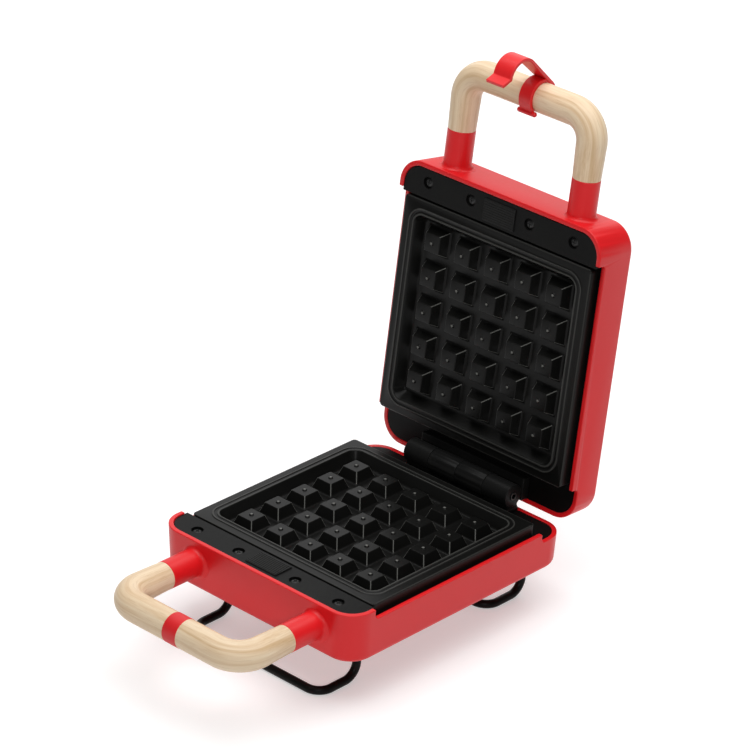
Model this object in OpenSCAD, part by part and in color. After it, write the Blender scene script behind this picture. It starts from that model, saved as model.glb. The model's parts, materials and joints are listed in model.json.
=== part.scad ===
// Sandwich-size waffle machine, shown open, with a folding lid, lift-out plates and two bar handles.
// Each half is drawn as a base: its parting face is at z = 0 and the middle of its stud grid at x = 0, y = 0.
// The lid's pieces are the same modules, mirrored and swung open about the hinge.

/* [Stance] */
// Height of the parting face above the table
parting_z = 60.25; // [56:0.25:66]
// How far the middle of the plates stands behind the middle of the whole open machine
stand_back = 9.66; // [4:0.01:14]
// Angle between the two parting faces with the lid fully open
open_angle = 96.65; // [90:0.05:100]

/* [Casing] */
// Half the width over the casing's side walls
case_half_w = 75; // [74:0.5:80]
// Front face of the casing, in front of the stud grid's middle
case_front = 87.3; // [86:0.1:92]
// Rear face of the casing, behind the stud grid's middle
case_rear = 90.1; // [89:0.1:93]
// Depth of the casing below the parting face
case_depth = 31; // [30:0.5:36]
// Corner radius in plan
case_corner = 15.2; // [13:0.1:18]
// Radius of the bottom edge
case_edge = 3.5; // [2:0.1:5]
// Inward lean of each wall from rim to bottom
case_draft = 1.2; // [0.5:0.1:2]
// Thickness of the front wall
front_wall = 3.2; // [3:0.1:3.6]
// Thickness of the side and rear walls
side_wall = 2.6; // [2.2:0.1:2.8]
// Depth of the side rims below the parting face
side_drop = 6.2; // [5.5:0.1:6.8]
// Depth of the rear rim below the parting face
rear_drop = 11.6; // [11.4:0.1:12]
// Gap from each front rim to the parting face
rim_gap = 0.3; // [0.2:0.1:0.5]

/* [Plate] */
// Half the width of a plate
plate_half_w = 69.7; // [68:0.1:70]
// Half the depth of a plate, front to back
plate_half_d = 65.7; // [64:0.1:65.8]
// How far a plate's middle stands behind the stud grid's middle
plate_back = 0.36; // [0:0.02:0.5]
// Depth of the flange's face below the parting face
flange_drop = 0.8; // [0.6:0.1:1]
// Depth of the skirt round the plate
skirt_h = 7.9; // [7.5:0.1:8.2]
// Depth of the batter well below the flange's face
well_depth = 6.5; // [6:0.1:6.9]
// Side to side pitch of the studs
stud_pitch_x = 22.86; // [22:0.02:23]
// Front to back pitch of the studs
stud_pitch_y = 21.2; // [20.5:0.1:21.4]
// Side of a stud's flat top
stud_top = 11.2; // [10:0.1:12]
// Side of a stud at its foot
stud_foot = 15.5; // [14.5:0.1:16]

/* [Handles] */
// Half the distance between a handle's two arms
arm_x = 46.3; // [44:0.1:48]
// How far the handles' middle stands to the right of the casing's middle
bar_x = 1.1; // [0:0.1:2]
// Depth of a handle's axis below the parting face
bar_drop = 13.5; // [13:0.1:14.5]
// Radius of the painted sleeves
sleeve_r = 8.15; // [8:0.05:8.5]
// Radius of the wooden bar round its bends and across its middle
bar_r = 8.7; // [8.2:0.05:9]
// Where the painted sleeves end and the wood begins
sleeve_end = 109.7; // [108:0.1:112]
// Axis of the cross bar, in front of the stud grid's middle
cross_bar = 144.6; // [140:0.1:146]
// Bend radius of the wooden bar's axis
bar_bend = 15; // [14:0.5:18]
// Width of the red band on the lower bar
band_w = 10.2; // [8:0.1:11]
// Where the middle of the red band sits along the lower bar
band_x = 2.7; // [0:0.1:4]

/* [Hinge] */
// Hinge axis, behind the stud grid's middle
hinge_y = 82; // [81:0.1:83]
// Depth of the hinge axis below the parting face
hinge_drop = 1.3; // [1:0.1:1.5]
// Radius of the knuckles
knuckle_r = 7; // [6.5:0.1:7.2]
// Half the length of the barrel
barrel_half = 39.3; // [38:0.1:41]
// Half the length of the lid's pair of knuckles
lid_knuckles = 20.7; // [19:0.1:22]
// Radius of the hollow hinge pin
pin_r = 2.5; // [2.3:0.1:2.8]

/* [Latch clip] */
// Where the middle of the clip sits along the upper bar
clip_x = 5.2; // [2:0.1:6]
// Width of the clip's strap
clip_w = 11.6; // [8:0.1:13]
// Thickness of the clip's strap
clip_t = 2; // [1.8:0.1:2.4]
// Angle of the arm above the horizontal, leaning forwards, with the lid open
clip_angle = 138.4; // [136:0.2:142]

/* [Legs] */
// Radius of the leg wire
wire_r = 2.5; // [2.2:0.1:2.6]
// Half the distance between a leg's two arms
leg_x = 49.2; // [48:0.1:50]
// Front leg's cross bar, in front of the stud grid's middle
front_leg_y = 83.7; // [82:0.1:85]
// Rear leg's cross bar, behind the stud grid's middle
rear_leg_y = 52.5; // [51:0.1:53]
// Length of a leg's arms, front to back
leg_arm = 29.3; // [28:0.1:29.5]
// Bend radius of the leg wire's axis
leg_bend = 9; // [8:0.5:10]

/* [Hidden] */

PAINT = [0.85, 0.13, 0.15];
PLASTIC = [0.1, 0.1, 0.1];
COATING = [0.16, 0.16, 0.16];
MAPLE = [0.87, 0.75, 0.57];
STEEL = [0.7, 0.71, 0.72];
CERAMIC = [0.9, 0.88, 0.82];

$fn = 48;
tiny = 0.01;
fit_gap = 0.3;
deck_drop = 1;
deck_t = 2.8;
deck_front = case_front - front_wall - fit_gap;
deck_back = plate_half_d - plate_back + 1.3;
step_front = 68.5;
step_rear = 67.5;
step_r = 2.5;
floor_t = 2.5;
floor_z = floor_t - case_depth;
inner_half_w = case_half_w - side_wall;
plate_rear = plate_half_d + plate_back;
skirt_z = -flange_drop - skirt_h;
ledge_z = skirt_z;
ledge_t = 2;
rear_deck_z = -rear_drop - 0.2;
well_z = -flange_drop - well_depth;
well_half_w = 60.5;
well_half_d = 56.5;
well_slope = 4;
well_wall = 2.3;
bead_h = 0.5;
sheet_t = 0.8;
heater_r = 3;
heater_z = well_z - well_wall - 0.2 - heater_r;
tray_z = heater_z - heater_r - 1.8;
screw_x = [-54.2, -21.75, 21.75, 54.2];
screw_y = -76.3;
hinge_screw_x = [-31, -10, 10, 31];
hinge_screw_y = 80;
hinge_foot = [73, 86.8];
post_x = 51;
post_y = 44;
arms = [bar_x - arm_x, bar_x + arm_x];
leg_up_y = [leg_arm - front_leg_y, rear_leg_y + leg_arm];
wood_end_r = 8.05;
bolt_r = 2.5;
bolt_head_r = 4.4;
bolt_length = 36;
gland_z = -21;
gland_r = 4.55;
gland_seat = case_rear - 0.5;
lamp_x = 9;
lamp_y = -62;
button_half_w = 11.5;
button_front = 81.4;
button_back = 68.3;
button_travel = 2.2;
stem_half_w = 8;
stem_front = 78.6;
stem_back = 71.2;
skirt_front = 80.2;
spring_x = 7;
spring_r = 0.7;
spring_length = 8.2;
button_skirt_z = -deck_drop - deck_t - 0.2;
spring_z = button_skirt_z - 0.8;
tray_front = skirt_front + button_travel + 0.2;
rib_pitch = 1.4;
bar_gap = 2 * bar_drop;
wire_z = -(parting_z - wire_r + 0.25);
leg_top_z = -18.6;
leg_boss_z = -22;

// How far the inner face of a leaning wall has come in at this height
function wall_lean(z) = case_draft * (1 - z) / (1 - floor_z);

// Plan outline with round corners, from y0 to y1 and half_w either side
module round_plan(half_w, y0, y1, r) {
    for (x = [-half_w + r, half_w - r], y = [y0 + r, y1 - r]) translate([x, y]) circle(r);
    translate([-half_w + r, y0]) square([2 * (half_w - r), y1 - y0]);
    translate([-half_w, y0 + r]) square([2 * half_w, y1 - y0 - 2 * r]);
}

// Slab with round corners between two heights
module round_slab(half_w, y0, y1, r, z0, z1) {
    translate([0, 0, z0]) linear_extrude(z1 - z0) round_plan(half_w, y0, y1, r);
}

// Block given by its two corners
module block(a, b) {
    translate(a) cube(b - a);
}

// Round bar along X, Y or Z from a start point
module bar_along_x(r, length) {
    rotate([0, 90, 0]) cylinder(r = r, h = length);
}
module bar_along_y(r, length) {
    rotate([-90, 0, 0]) cylinder(r = r, h = length);
}

// Quarter bend of a round bar in the XY plane, centred on the bend's own centre
module quarter_bend(bend, r, start) {
    rotate([0, 0, start]) rotate_extrude(angle = 90) translate([bend, 0]) circle(r);
}

// Carries a piece drawn in the base's frame over to the open lid
module on_lid() {
    translate([0, hinge_y, -hinge_drop]) rotate([-open_angle, 0, 0])
        translate([0, -hinge_y, hinge_drop]) mirror([0, 0, 1]) children();
}

// Carries a piece from the plates' frame to the machine's own frame
module placed() {
    translate([0, stand_back, parting_z]) children();
}

// Outside of a casing: leaning walls, round corners and a round bottom edge
module casing_outside() {
    torus_r = case_corner - case_draft - case_edge;
    hull() {
        for (x = [-1, 1], y = [case_corner - case_front, case_rear - case_corner])
            translate([x * (case_half_w - case_corner), y, -rim_gap - tiny])
                cylinder(r = case_corner, h = tiny);
        for (x = [-1, 1], y = [case_corner - case_front, case_rear - case_corner])
            translate([x * (case_half_w - case_corner), y, case_edge - case_depth])
                rotate_extrude() translate([torus_r, 0]) circle(case_edge, $fn = 24);
    }
}

// Hollow inside a casing
module casing_inside() {
    r = case_corner - side_wall;
    hull() for (level = [[floor_z, case_draft], [1, 0]])
        for (x = [-1, 1], y = [r - case_front + front_wall, case_rear - side_wall - r])
            translate([x * (inner_half_w - r), y, level[0]]) cylinder(r = r - level[1], h = tiny, $fn = 32);
}

// What is cut from the rims, seen from the side: lower at the sides, lowest at the rear
module rim_steps() {
    rotate([90, 0, 90]) translate([0, 0, -case_half_w - 5]) linear_extrude(2 * case_half_w + 10)
        offset(r = step_r, $fn = 24) offset(r = -step_r, $fn = 24) {
            translate([-step_front, -side_drop]) square([200, 40]);
            translate([step_rear, -rear_drop]) square([80, 40]);
        }
}

// Concave fillet where a sleeve leaves the front wall
module sleeve_fillet() {
    fillet = 2.6;
    translate([0, 1.2 - case_front, 0]) rotate([90, 0, 0]) rotate_extrude() difference() {
        translate([sleeve_r - 1, -1]) square([fillet + 1, fillet + 1]);
        translate([sleeve_r + fillet, fillet]) circle(fillet);
    }
}

// One casing with its handle sleeves and the bosses that every screw goes into
module casing(has_legs) {
    difference() {
        union() {
            difference() {
                casing_outside();
                casing_inside();
                rim_steps();
            }
            for (x = arms) translate([x, 0, -bar_drop]) {
                translate([0, -sleeve_end, 0]) bar_along_y(sleeve_r, sleeve_end - case_front + front_wall);
                sleeve_fillet();
            }
            for (x = screw_x) translate([x, screw_y, floor_z - tiny])
                cylinder(r = 3.6, h = -deck_drop - deck_t - floor_z);
            for (x = hinge_screw_x) translate([x, hinge_screw_y, floor_z - tiny])
                cylinder(r = 5, h = rear_deck_z - ledge_t - floor_z);
            for (x = [-post_x, post_x], y = [-post_y, post_y]) translate([x, y, floor_z - tiny])
                cylinder(r = 4, h = tray_z - floor_z);
            if (has_legs) {
                for (x = [-leg_x, leg_x], y = leg_up_y)
                    translate([x, y, floor_z - tiny]) cylinder(r = 5, h = leg_boss_z - floor_z);
                translate([0, gland_seat - 2, gland_z]) bar_along_y(gland_r + 2.8, 2);
            }
        }
        for (x = arms) translate([x, -sleeve_end - 1, -bar_drop]) bar_along_y(bolt_r + 0.1, 30);
        for (x = screw_x) translate([x, screw_y, -16]) cylinder(r = 1.55, h = 20);
        for (x = hinge_screw_x) translate([x, hinge_screw_y, -case_depth - 1]) {
            cylinder(r = 2.1, h = 30);
            cylinder(r = 3.9, h = 3.4);
        }
        for (x = [-post_x, post_x], y = [-post_y, post_y]) translate([x, y, -26]) cylinder(r = 1.55, h = 20);
        if (has_legs) {
            for (x = [-leg_x, leg_x], y = leg_up_y)
                translate([x, y, -case_depth - 1]) cylinder(r = wire_r + 0.05, h = 12);
            translate([0, case_rear - 6, gland_z]) bar_along_y(gland_r + 0.1, 10);
        } else {
            for (x = [-lamp_x, lamp_x]) translate([x, lamp_y, -case_depth - 1]) cylinder(r = 3.05, h = 6);
        }
    }
}

// Slot for the button's stem, always under its cap, the tray below it and the way for the tongue
module button_cavity() {
    slot_half_w = stem_half_w + 0.4;
    tray_half_w = button_half_w + 1.8;
    tray_z = [button_skirt_z - 1.8, button_skirt_z + 0.2];
    block([-slot_half_w, -stem_front - button_travel - fit_gap, button_skirt_z],
        [slot_half_w, fit_gap - stem_back, 1]);
    block([-tray_half_w, -tray_front, tray_z[0]], [tray_half_w, 0.4 - button_back, tray_z[1]]);
    block([-5.3, -button_back, tray_z[0]], [5.3, -deck_back + 3, tray_z[1]]);
}

// Black moulding that fills the casing: front deck, ledge round the plate and lower rear deck
module inner_frame() {
    half_w = inner_half_w - fit_gap;
    corner = case_corner - side_wall - fit_gap;
    low_z = ledge_z - ledge_t;
    low_half_w = half_w - wall_lean(low_z);
    rear_in = wall_lean(rear_deck_z - ledge_t);
    rear_edge = case_rear - side_wall - fit_gap - rear_in;
    tray_floor = button_skirt_z - 3.4;
    difference() {
        union() {
            difference() {
                round_slab(half_w, -deck_front, rear_edge, corner, -deck_drop - deck_t, -deck_drop);
                block([-90, -deck_back, -20], [90, 100, 5]);
            }
            difference() {
                round_slab(half_w - rear_in, -50, rear_edge, corner - rear_in,
                    rear_deck_z - ledge_t, rear_deck_z);
                block([-90, -100, -20], [90, plate_rear + 0.5, 5]);
            }
            difference() {
                block([-low_half_w, -deck_back - 2, low_z], [low_half_w, plate_rear + 2.5, ledge_z]);
                round_slab(61, -57.4, 58.1, 6, -20, 5);
            }
            block([-low_half_w, -deck_back - 2, low_z], [low_half_w, -deck_back, -deck_drop]);
            block([rear_in - half_w, plate_rear + 0.5, rear_deck_z - ledge_t],
                [half_w - rear_in, plate_rear + 2.5, ledge_z]);
            block([-button_half_w - 3.6, -deck_front + fit_gap, tray_floor],
                [button_half_w + 3.6, -deck_back - 1, -deck_drop - 1]);
        }
        button_cavity();
        for (x = screw_x) translate([x, screw_y, 0]) {
            translate([0, 0, -10]) cylinder(r = 1.7, h = 20);
            translate([0, 0, -deck_drop - 1.5]) cylinder(r = 3.5, h = 5);
        }
        for (x = hinge_screw_x) translate([x, hinge_screw_y, -20]) cylinder(r = 2.1, h = 20);
    }
}

// Cross-slotted screw with its head at the origin's height, pointing down
module screw(head_r, head_h, shank_r, length, slot_w) {
    difference() {
        cylinder(r = head_r, h = head_h);
        for (a = [0, 90]) rotate(a) translate([-head_r * 0.6, -slot_w / 2, head_h * 0.45])
            cube([head_r * 1.2, slot_w, head_h]);
    }
    translate([0, 0, -length]) cylinder(r = shank_r, h = length + tiny);
}

module panel_screws() {
    for (x = screw_x) translate([x, screw_y, -deck_drop - 1.5]) screw(3, 1.3, 1.5, 11, 0.7);
}

// Sliding release button: ribbed cap on the deck, a stem through it, a wide skirt below and a tongue to the plate
module release_button() {
    reach = plate_half_d - plate_back + 0.3;
    cap_z = [0.1 - deck_drop, 0.5 - deck_drop];
    skirt_z0 = button_skirt_z - 1.6;
    spring_seat = tray_front - 0.1 - spring_length;
    difference() {
        union() {
            block([-button_half_w, -button_front, cap_z[0]], [button_half_w, -button_back, cap_z[1]]);
            for (i = [0:8]) translate([0, 0.75 - button_front + i * rib_pitch, cap_z[1] - 0.05])
                block([-button_half_w, 0, 0], [button_half_w, 0.7, 0.3]);
            block([-stem_half_w, -stem_front, button_skirt_z - 0.5],
                [stem_half_w, -stem_back, cap_z[0] + 0.1]);
            block([-button_half_w - 1.4, -skirt_front, skirt_z0],
                [button_half_w + 1.4, -button_back, button_skirt_z]);
            block([-5, -button_back - 1, skirt_z0], [5, -reach, button_skirt_z]);
        }
        for (x = [-spring_x, spring_x])
            block([x - spring_r - 0.4, -button_front, skirt_z0 - 1],
                [x + spring_r + 0.4, 0.1 - spring_seat, button_skirt_z + 0.1]);
    }
}

// One thin coil spring along Y, as a tube swept round its own helix
module coil_spring(radius, wire, length, turns) {
    sides = 6;
    steps = 8 * turns;
    ring = [for (j = [0:sides - 1]) [wire * cos(360 * j / sides), wire * sin(360 * j / sides)]];
    points = [for (i = [0:steps], p = ring) let (a = 360 * turns * i / steps)
        [(radius + p[0]) * cos(a), wire + (length - 2 * wire) * i / steps + p[1], (radius + p[0]) * sin(a)]];
    walls = [for (i = [0:steps - 1], j = [0:sides - 1]) let (a = i * sides, n = (j + 1) % sides)
        each [[a + j, a + sides + n, a + n], [a + j, a + sides + j, a + sides + n]]];
    caps = [for (j = [1:sides - 2]) each [[0, j, j + 1],
        [steps * sides, steps * sides + j + 1, steps * sides + j]]];
    polyhedron(points, concat(walls, caps));
}

module release_springs() {
    for (x = [-spring_x, spring_x]) translate([x, 0.1 - tray_front, spring_z])
        coil_spring(spring_r, 0.18, spring_length, 6);
}

// Raised bead running round the well
module bead(grow, width) {
    half_w = well_half_w + grow;
    half_d = well_half_d + grow;
    difference() {
        round_slab(half_w + width, plate_back - half_d - width, plate_back + half_d + width, 7 + grow + width,
            -flange_drop - 0.5, bead_h - flange_drop);
        round_slab(half_w, plate_back - half_d, plate_back + half_d, 7 + grow, -flange_drop - 1, 1);
    }
}

// Sloping basin, grown by a wall thickness
module basin(grow, z_top) {
    r = 7;
    hull() for (level = [[z_top, 0], [well_z - grow, well_slope]])
        for (x = [-1, 1], y = [-1, 1])
            translate([x * (well_half_w - r), plate_back + y * (well_half_d - r), level[0]])
                cylinder(r = r + grow - level[1], h = tiny, $fn = 32);
}

// Waffle plate: flange, skirt, double bead, sloping well and studs with a dimple bump on each
module waffle_plate() {
    front = plate_back - plate_half_d;
    difference() {
        union() {
            difference() {
                round_slab(plate_half_w, front, plate_rear, 2.4, skirt_z, -flange_drop);
                round_slab(plate_half_w - 2.2, front + 2.2, plate_rear - 2.2, 2.5,
                    skirt_z - 1, -flange_drop - 2.4);
            }
            basin(well_wall, -flange_drop - 1);
            bead(0.2, 1.3);
            bead(3.2, 1.1);
        }
        basin(0, 0.2);
    }
    for (x = [-2:2], y = [-2:2]) translate([x * stud_pitch_x, y * stud_pitch_y, well_z - tiny]) {
        linear_extrude(well_depth - 0.1, scale = stud_top / stud_foot) square(stud_foot, center = true);
        translate([0, 0, well_depth - 0.11]) cylinder(r1 = 1.1, r2 = 0.5, h = 0.5, $fn = 16);
    }
}

// Tubular heater: a rounded loop whose two ends run back to their terminals
module heating_element() {
    bend = 9;
    half_w = 42;
    front = -38;
    back = 36;
    tail_x = 10;
    translate([0, 0, heater_z]) {
        translate([bend - half_w, front, 0]) bar_along_x(heater_r, 2 * (half_w - bend));
        for (s = [0, 1]) mirror([s, 0, 0]) {
            translate([half_w - bend, front + bend, 0]) quarter_bend(bend, heater_r, 270);
            translate([half_w, front + bend, 0]) bar_along_y(heater_r, back - front - 2 * bend);
            translate([half_w - bend, back - bend, 0]) quarter_bend(bend, heater_r, 0);
            translate([tail_x + bend, back, 0]) bar_along_x(heater_r, half_w - tail_x - 2 * bend);
            translate([tail_x + bend, back + bend, 0]) quarter_bend(bend, heater_r, 180);
            translate([tail_x, back + bend, 0]) bar_along_y(heater_r, 4);
            translate([tail_x, back + bend + 3, 0]) bar_along_y(1.4, 7);
        }
    }
}

// Ceramic cradles that carry the heater above the tray
module heater_cradles() {
    for (s = [-1, 1], y = [-18, 16]) difference() {
        block([s * 42 - 5, y - 4, tray_z + sheet_t], [s * 42 + 5, y + 4, heater_z - 0.6]);
        translate([s * 42, y - 5, heater_z]) bar_along_y(heater_r + 0.05, 10);
    }
}

// Bright sheet tray under the heater
module heat_reflector() {
    difference() {
        round_slab(58, -54, 54, 5, tray_z, tray_z + 5);
        round_slab(58 - sheet_t, sheet_t - 54, 54 - sheet_t, 4.2, tray_z + sheet_t, 20);
        for (x = [-post_x, post_x], y = [-post_y, post_y]) translate([x, y, -30]) cylinder(r = 1.7, h = 30);
        for (x = [-10, 10]) translate([x, 50, heater_z]) bar_along_y(2.2, 10);
    }
}

module reflector_screws() {
    for (x = [-post_x, post_x], y = [-post_y, post_y])
        translate([x, y, tray_z + sheet_t]) screw(3, 1.4, 1.5, 7, 0.7);
}

// Disc thermostat standing on the tray just under the plate
module thermostat() {
    translate([0, 0, tray_z + sheet_t]) {
        cylinder(r = 8, h = 2.4);
        cylinder(r = 6.4, h = 5.6);
        for (x = [-1, 1]) translate([x * 10 - 3, -1.6, 0.6]) cube([6, 3.2, 0.8]);
    }
}

// Ceramic terminal block on the casing floor
module terminal_block() {
    difference() {
        block([-14, 58, floor_z], [14, 70, floor_z + 9]);
        for (x = [-8, 0, 8]) translate([x, 57, floor_z + 3.2]) bar_along_y(1.6, 14);
        for (x = [-8, 0, 8], y = [61, 67]) translate([x, y, floor_z + 4]) cylinder(r = 1.7, h = 8);
    }
}

// Bent wooden bar, slimmer towards its ends, with blind holes for the bolts and, if asked, a groove for the band
module grip(has_groove) {
    arm_length = cross_bar - bar_bend - sleeve_end;
    difference() {
        translate([bar_x, 0, -bar_drop]) {
            for (s = [0, 1]) mirror([s, 0, 0]) {
                translate([arm_x, -sleeve_end, 0]) rotate([90, 0, 0])
                    cylinder(r1 = wood_end_r, r2 = bar_r, h = arm_length);
                translate([arm_x - bar_bend, bar_bend - cross_bar, 0]) quarter_bend(bar_bend, bar_r, 270);
            }
            translate([bar_bend - arm_x, -cross_bar, 0]) bar_along_x(bar_r, 2 * (arm_x - bar_bend));
        }
        for (x = arms) translate([x, -sleeve_end - 15, -bar_drop]) bar_along_y(bolt_r + 0.05, 20);
        if (has_groove) translate([band_x, -cross_bar, -bar_drop]) difference() {
            translate([-band_w / 2, 0, 0]) bar_along_x(bar_r + 2, band_w);
            translate([-band_w, 0, 0]) bar_along_x(bar_r - 1, 2 * band_w);
        }
    }
}

// Soft red band in the groove of the lower bar, where the clip takes hold
module grip_band() {
    translate([band_x + 0.05 - band_w / 2, -cross_bar, -bar_drop]) difference() {
        bar_along_x(bar_r + 0.1, band_w - 0.1);
        translate([-1, 0, 0]) bar_along_x(bar_r - 0.95, band_w + 2);
    }
}

// Bolts through the sleeves into the wood, with their heads on the casing's inner face
module handle_bolts() {
    head_y = front_wall - case_front + wall_lean(-bar_drop - bolt_head_r) + 0.02;
    for (x = arms) translate([x, head_y, -bar_drop]) {
        translate([0, -bolt_length, 0]) bar_along_y(bolt_r, bolt_length);
        bar_along_y(bolt_head_r, 2.6);
    }
}

// One bent wire leg, flattened a little where it stands on the table
module wire_leg(bar_y) {
    up_y = bar_y + leg_arm;
    difference() {
        translate([0, 0, wire_z]) {
            translate([leg_bend - leg_x, bar_y, 0]) bar_along_x(wire_r, 2 * (leg_x - leg_bend));
            for (s = [0, 1]) mirror([s, 0, 0]) {
                translate([leg_x - leg_bend, bar_y + leg_bend, 0]) quarter_bend(leg_bend, wire_r, 270);
                translate([leg_x, bar_y + leg_bend, 0]) bar_along_y(wire_r, leg_arm - 2 * leg_bend);
                translate([leg_x, up_y - leg_bend, leg_bend])
                    rotate([0, 90, 0]) quarter_bend(leg_bend, wire_r, 0);
                translate([leg_x, up_y, leg_bend]) cylinder(r = wire_r, h = leg_top_z - wire_z - leg_bend);
            }
        }
        block([-80, bar_y - 10, -parting_z - 5], [80, bar_y + 50, -parting_z]);
    }
}

module leg_push_nuts() {
    for (x = [-leg_x, leg_x], y = leg_up_y)
        translate([x, y, leg_boss_z]) difference() {
            cylinder(r = 4.6, h = 0.9);
            translate([0, 0, -1]) cylinder(r = wire_r + 0.03, h = 5);
        }
}

// Knuckle between two places along the barrel, with the web that joins it to its foot
module knuckle(x0, x1, axis_z) {
    translate([x0, hinge_y, axis_z]) bar_along_x(knuckle_r, x1 - x0);
    block([x0, hinge_y - 4.5, -rear_drop], [x1, hinge_y + 4.5, axis_z - 4]);
}

// Hinge bracket on a rear deck; spans lists its knuckles
module hinge_bracket(spans, axis_z) {
    foot_z = axis_z - knuckle_r - 0.6;
    difference() {
        union() {
            block([-barrel_half, hinge_foot[0], rear_deck_z], [barrel_half, hinge_foot[1], foot_z]);
            for (span = spans) knuckle(span[0], span[1], axis_z);
        }
        translate([-barrel_half - 1, hinge_y, axis_z]) bar_along_x(pin_r + 0.05, 2 * barrel_half + 2);
        for (x = hinge_screw_x) translate([x, hinge_screw_y, rear_deck_z - 1]) cylinder(r = 2.05, h = 2.8);
    }
}

module hinge_base_bracket() {
    outer_knuckles = [[-barrel_half, -lid_knuckles - fit_gap], [lid_knuckles + fit_gap, barrel_half]];
    hinge_bracket(outer_knuckles, -hinge_drop);
}

// The axis lies below the parting face, so it is above this bracket's own face until the lid is turned over
module hinge_lid_bracket() {
    hinge_bracket([[-lid_knuckles, lid_knuckles]], hinge_drop);
}

// Screws from under the casing, up through the boss and the deck into the bracket
module hinge_screws() {
    for (x = hinge_screw_x) translate([x, hinge_screw_y, 2.4 - case_depth]) mirror([0, 0, 1])
        screw(3.7, 2.2, 2, rear_deck_z + 1.6 + case_depth - 2.4, 0.9);
}

module hinge_pin() {
    overhang = 0.5;
    translate([-barrel_half - overhang, hinge_y, -hinge_drop]) difference() {
        bar_along_x(pin_r, 2 * (barrel_half + overhang));
        translate([-1, 0, 0]) bar_along_x(1.5, 2 * barrel_half + 4);
    }
}

// Grommet that the mains lead passes through
module cord_gland() {
    translate([0, gland_seat + 0.02, gland_z]) difference() {
        union() {
            bar_along_y(6.4, 2.4);
            translate([0, -3.8, 0]) bar_along_y(gland_r, 4);
            translate([0, -5.2, 0]) bar_along_y(6, 1.9);
            translate([0, 2.3, 0]) rotate([-90, 0, 0]) cylinder(r1 = 5.2, r2 = 4.6, h = 6);
        }
        translate([0, -10, 0]) bar_along_y(3.4, 30);
    }
}

// Round lens in the lid's outer face
module lamp(x) {
    translate([x, lamp_y, -case_depth]) {
        translate([0, 0, -0.8]) cylinder(r1 = 1.8, r2 = 3, h = 0.81);
        cylinder(r = 3, h = 3.4);
        translate([0, 0, floor_t]) cylinder(r = 4, h = 0.9);
    }
}

// Angular slice of a ring, as a flat shape
module ring_slice(outer, inner, from, to) {
    difference() {
        intersection() {
            circle(outer);
            polygon(concat([[0, 0]], [for (i = [0:8]) let (a = from + (to - from) * i / 8)
                2 * outer * [cos(a), sin(a)]]));
        }
        circle(inner);
    }
}

// Clip seen from its left side: hoop at the origin with a bead at its free end, an arm along +X that leaves
// the hoop on its upper side, and a hook that curls round to an outward lip
module clip_profile() {
    hoop_in = bar_r + 0.08;
    hoop_out = hoop_in + clip_t + 0.2;
    bead_r = 1.5;
    bead_at = -84.6;
    reach = bar_gap - 0.6;
    hook_in = bar_r + 0.85;
    hook_out = hook_in + clip_t;
    hook_end = -32;
    lip = 6.2;
    ring_slice(hoop_out, hoop_in, bead_at, 198.4);
    rotate(bead_at) translate([hoop_in + bead_r, 0]) circle(bead_r);
    difference() {
        hull() {
            rotate(96) translate([hoop_out - clip_t, -1]) square([clip_t, 2]);
            translate([reach - 1, hook_out - clip_t]) square([1, clip_t]);
        }
        circle(hoop_in);
    }
    translate([reach, 0]) {
        ring_slice(hook_out, hook_in, hook_end, 91);
        rotate(hook_end) translate([hook_in + clip_t / 2, 0]) rotate(-28) {
            translate([0, -clip_t / 2]) square([lip, clip_t]);
            for (x = [0, lip]) translate([x, 0]) circle(clip_t / 2);
        }
    }
}

// Latch clip on the upper bar, drawn with the lid open
module latch_clip() {
    bar_y = -cross_bar - hinge_y;
    bar_z = bar_drop + hinge_drop;
    y = hinge_y + bar_y * cos(open_angle) + bar_z * sin(open_angle);
    z = -hinge_drop - bar_y * sin(open_angle) + bar_z * cos(open_angle);
    translate([clip_x - clip_w / 2, y, z]) rotate([90, 0, 90]) linear_extrude(clip_w)
        rotate(clip_angle) mirror([0, 1]) clip_profile();
}

module base_casing() { color(PAINT) casing(true); }
module lid_casing() { color(PAINT) on_lid() casing(false); }

placed() base_casing();
placed() color(PLASTIC) inner_frame();  // base_inner_frame
placed() color(STEEL) panel_screws();  // base_panel_screws
placed() color(PLASTIC) release_button();  // base_release_button
placed() color(STEEL) release_springs();  // base_release_springs
placed() color(COATING) waffle_plate();  // base_plate
placed() color(STEEL) heating_element();  // base_heating_element
placed() color(CERAMIC) heater_cradles();  // base_heater_cradles
placed() color(STEEL) heat_reflector();  // base_heat_reflector
placed() color(STEEL) reflector_screws();  // base_reflector_screws
placed() color(CERAMIC) thermostat();  // base_thermostat
placed() color(CERAMIC) terminal_block();  // base_terminal_block
placed() color(MAPLE) grip(true);  // base_grip
placed() color(PAINT) grip_band();  // base_grip_band
placed() color(STEEL) handle_bolts();  // base_handle_bolts
placed() color(PLASTIC) wire_leg(-front_leg_y);  // front_leg
placed() color(PLASTIC) wire_leg(rear_leg_y);  // rear_leg
placed() color(STEEL) leg_push_nuts();
placed() color(PLASTIC) hinge_base_bracket();
placed() color(STEEL) hinge_screws();  // hinge_base_screws
placed() color(STEEL) hinge_pin();
placed() color(PLASTIC) cord_gland();
placed() lid_casing();
placed() color(PLASTIC) on_lid() inner_frame();  // lid_inner_frame
placed() color(STEEL) on_lid() panel_screws();  // lid_panel_screws
placed() color(PLASTIC) on_lid() release_button();  // lid_release_button
placed() color(STEEL) on_lid() release_springs();  // lid_release_springs
placed() color(COATING) on_lid() waffle_plate();  // lid_plate
placed() color(STEEL) on_lid() heating_element();  // lid_heating_element
placed() color(CERAMIC) on_lid() heater_cradles();  // lid_heater_cradles
placed() color(STEEL) on_lid() heat_reflector();  // lid_heat_reflector
placed() color(STEEL) on_lid() reflector_screws();  // lid_reflector_screws
placed() color(CERAMIC) on_lid() thermostat();  // lid_thermostat
placed() color(CERAMIC) on_lid() terminal_block();  // lid_terminal_block
placed() color(MAPLE) on_lid() grip(false);  // lid_grip
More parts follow.
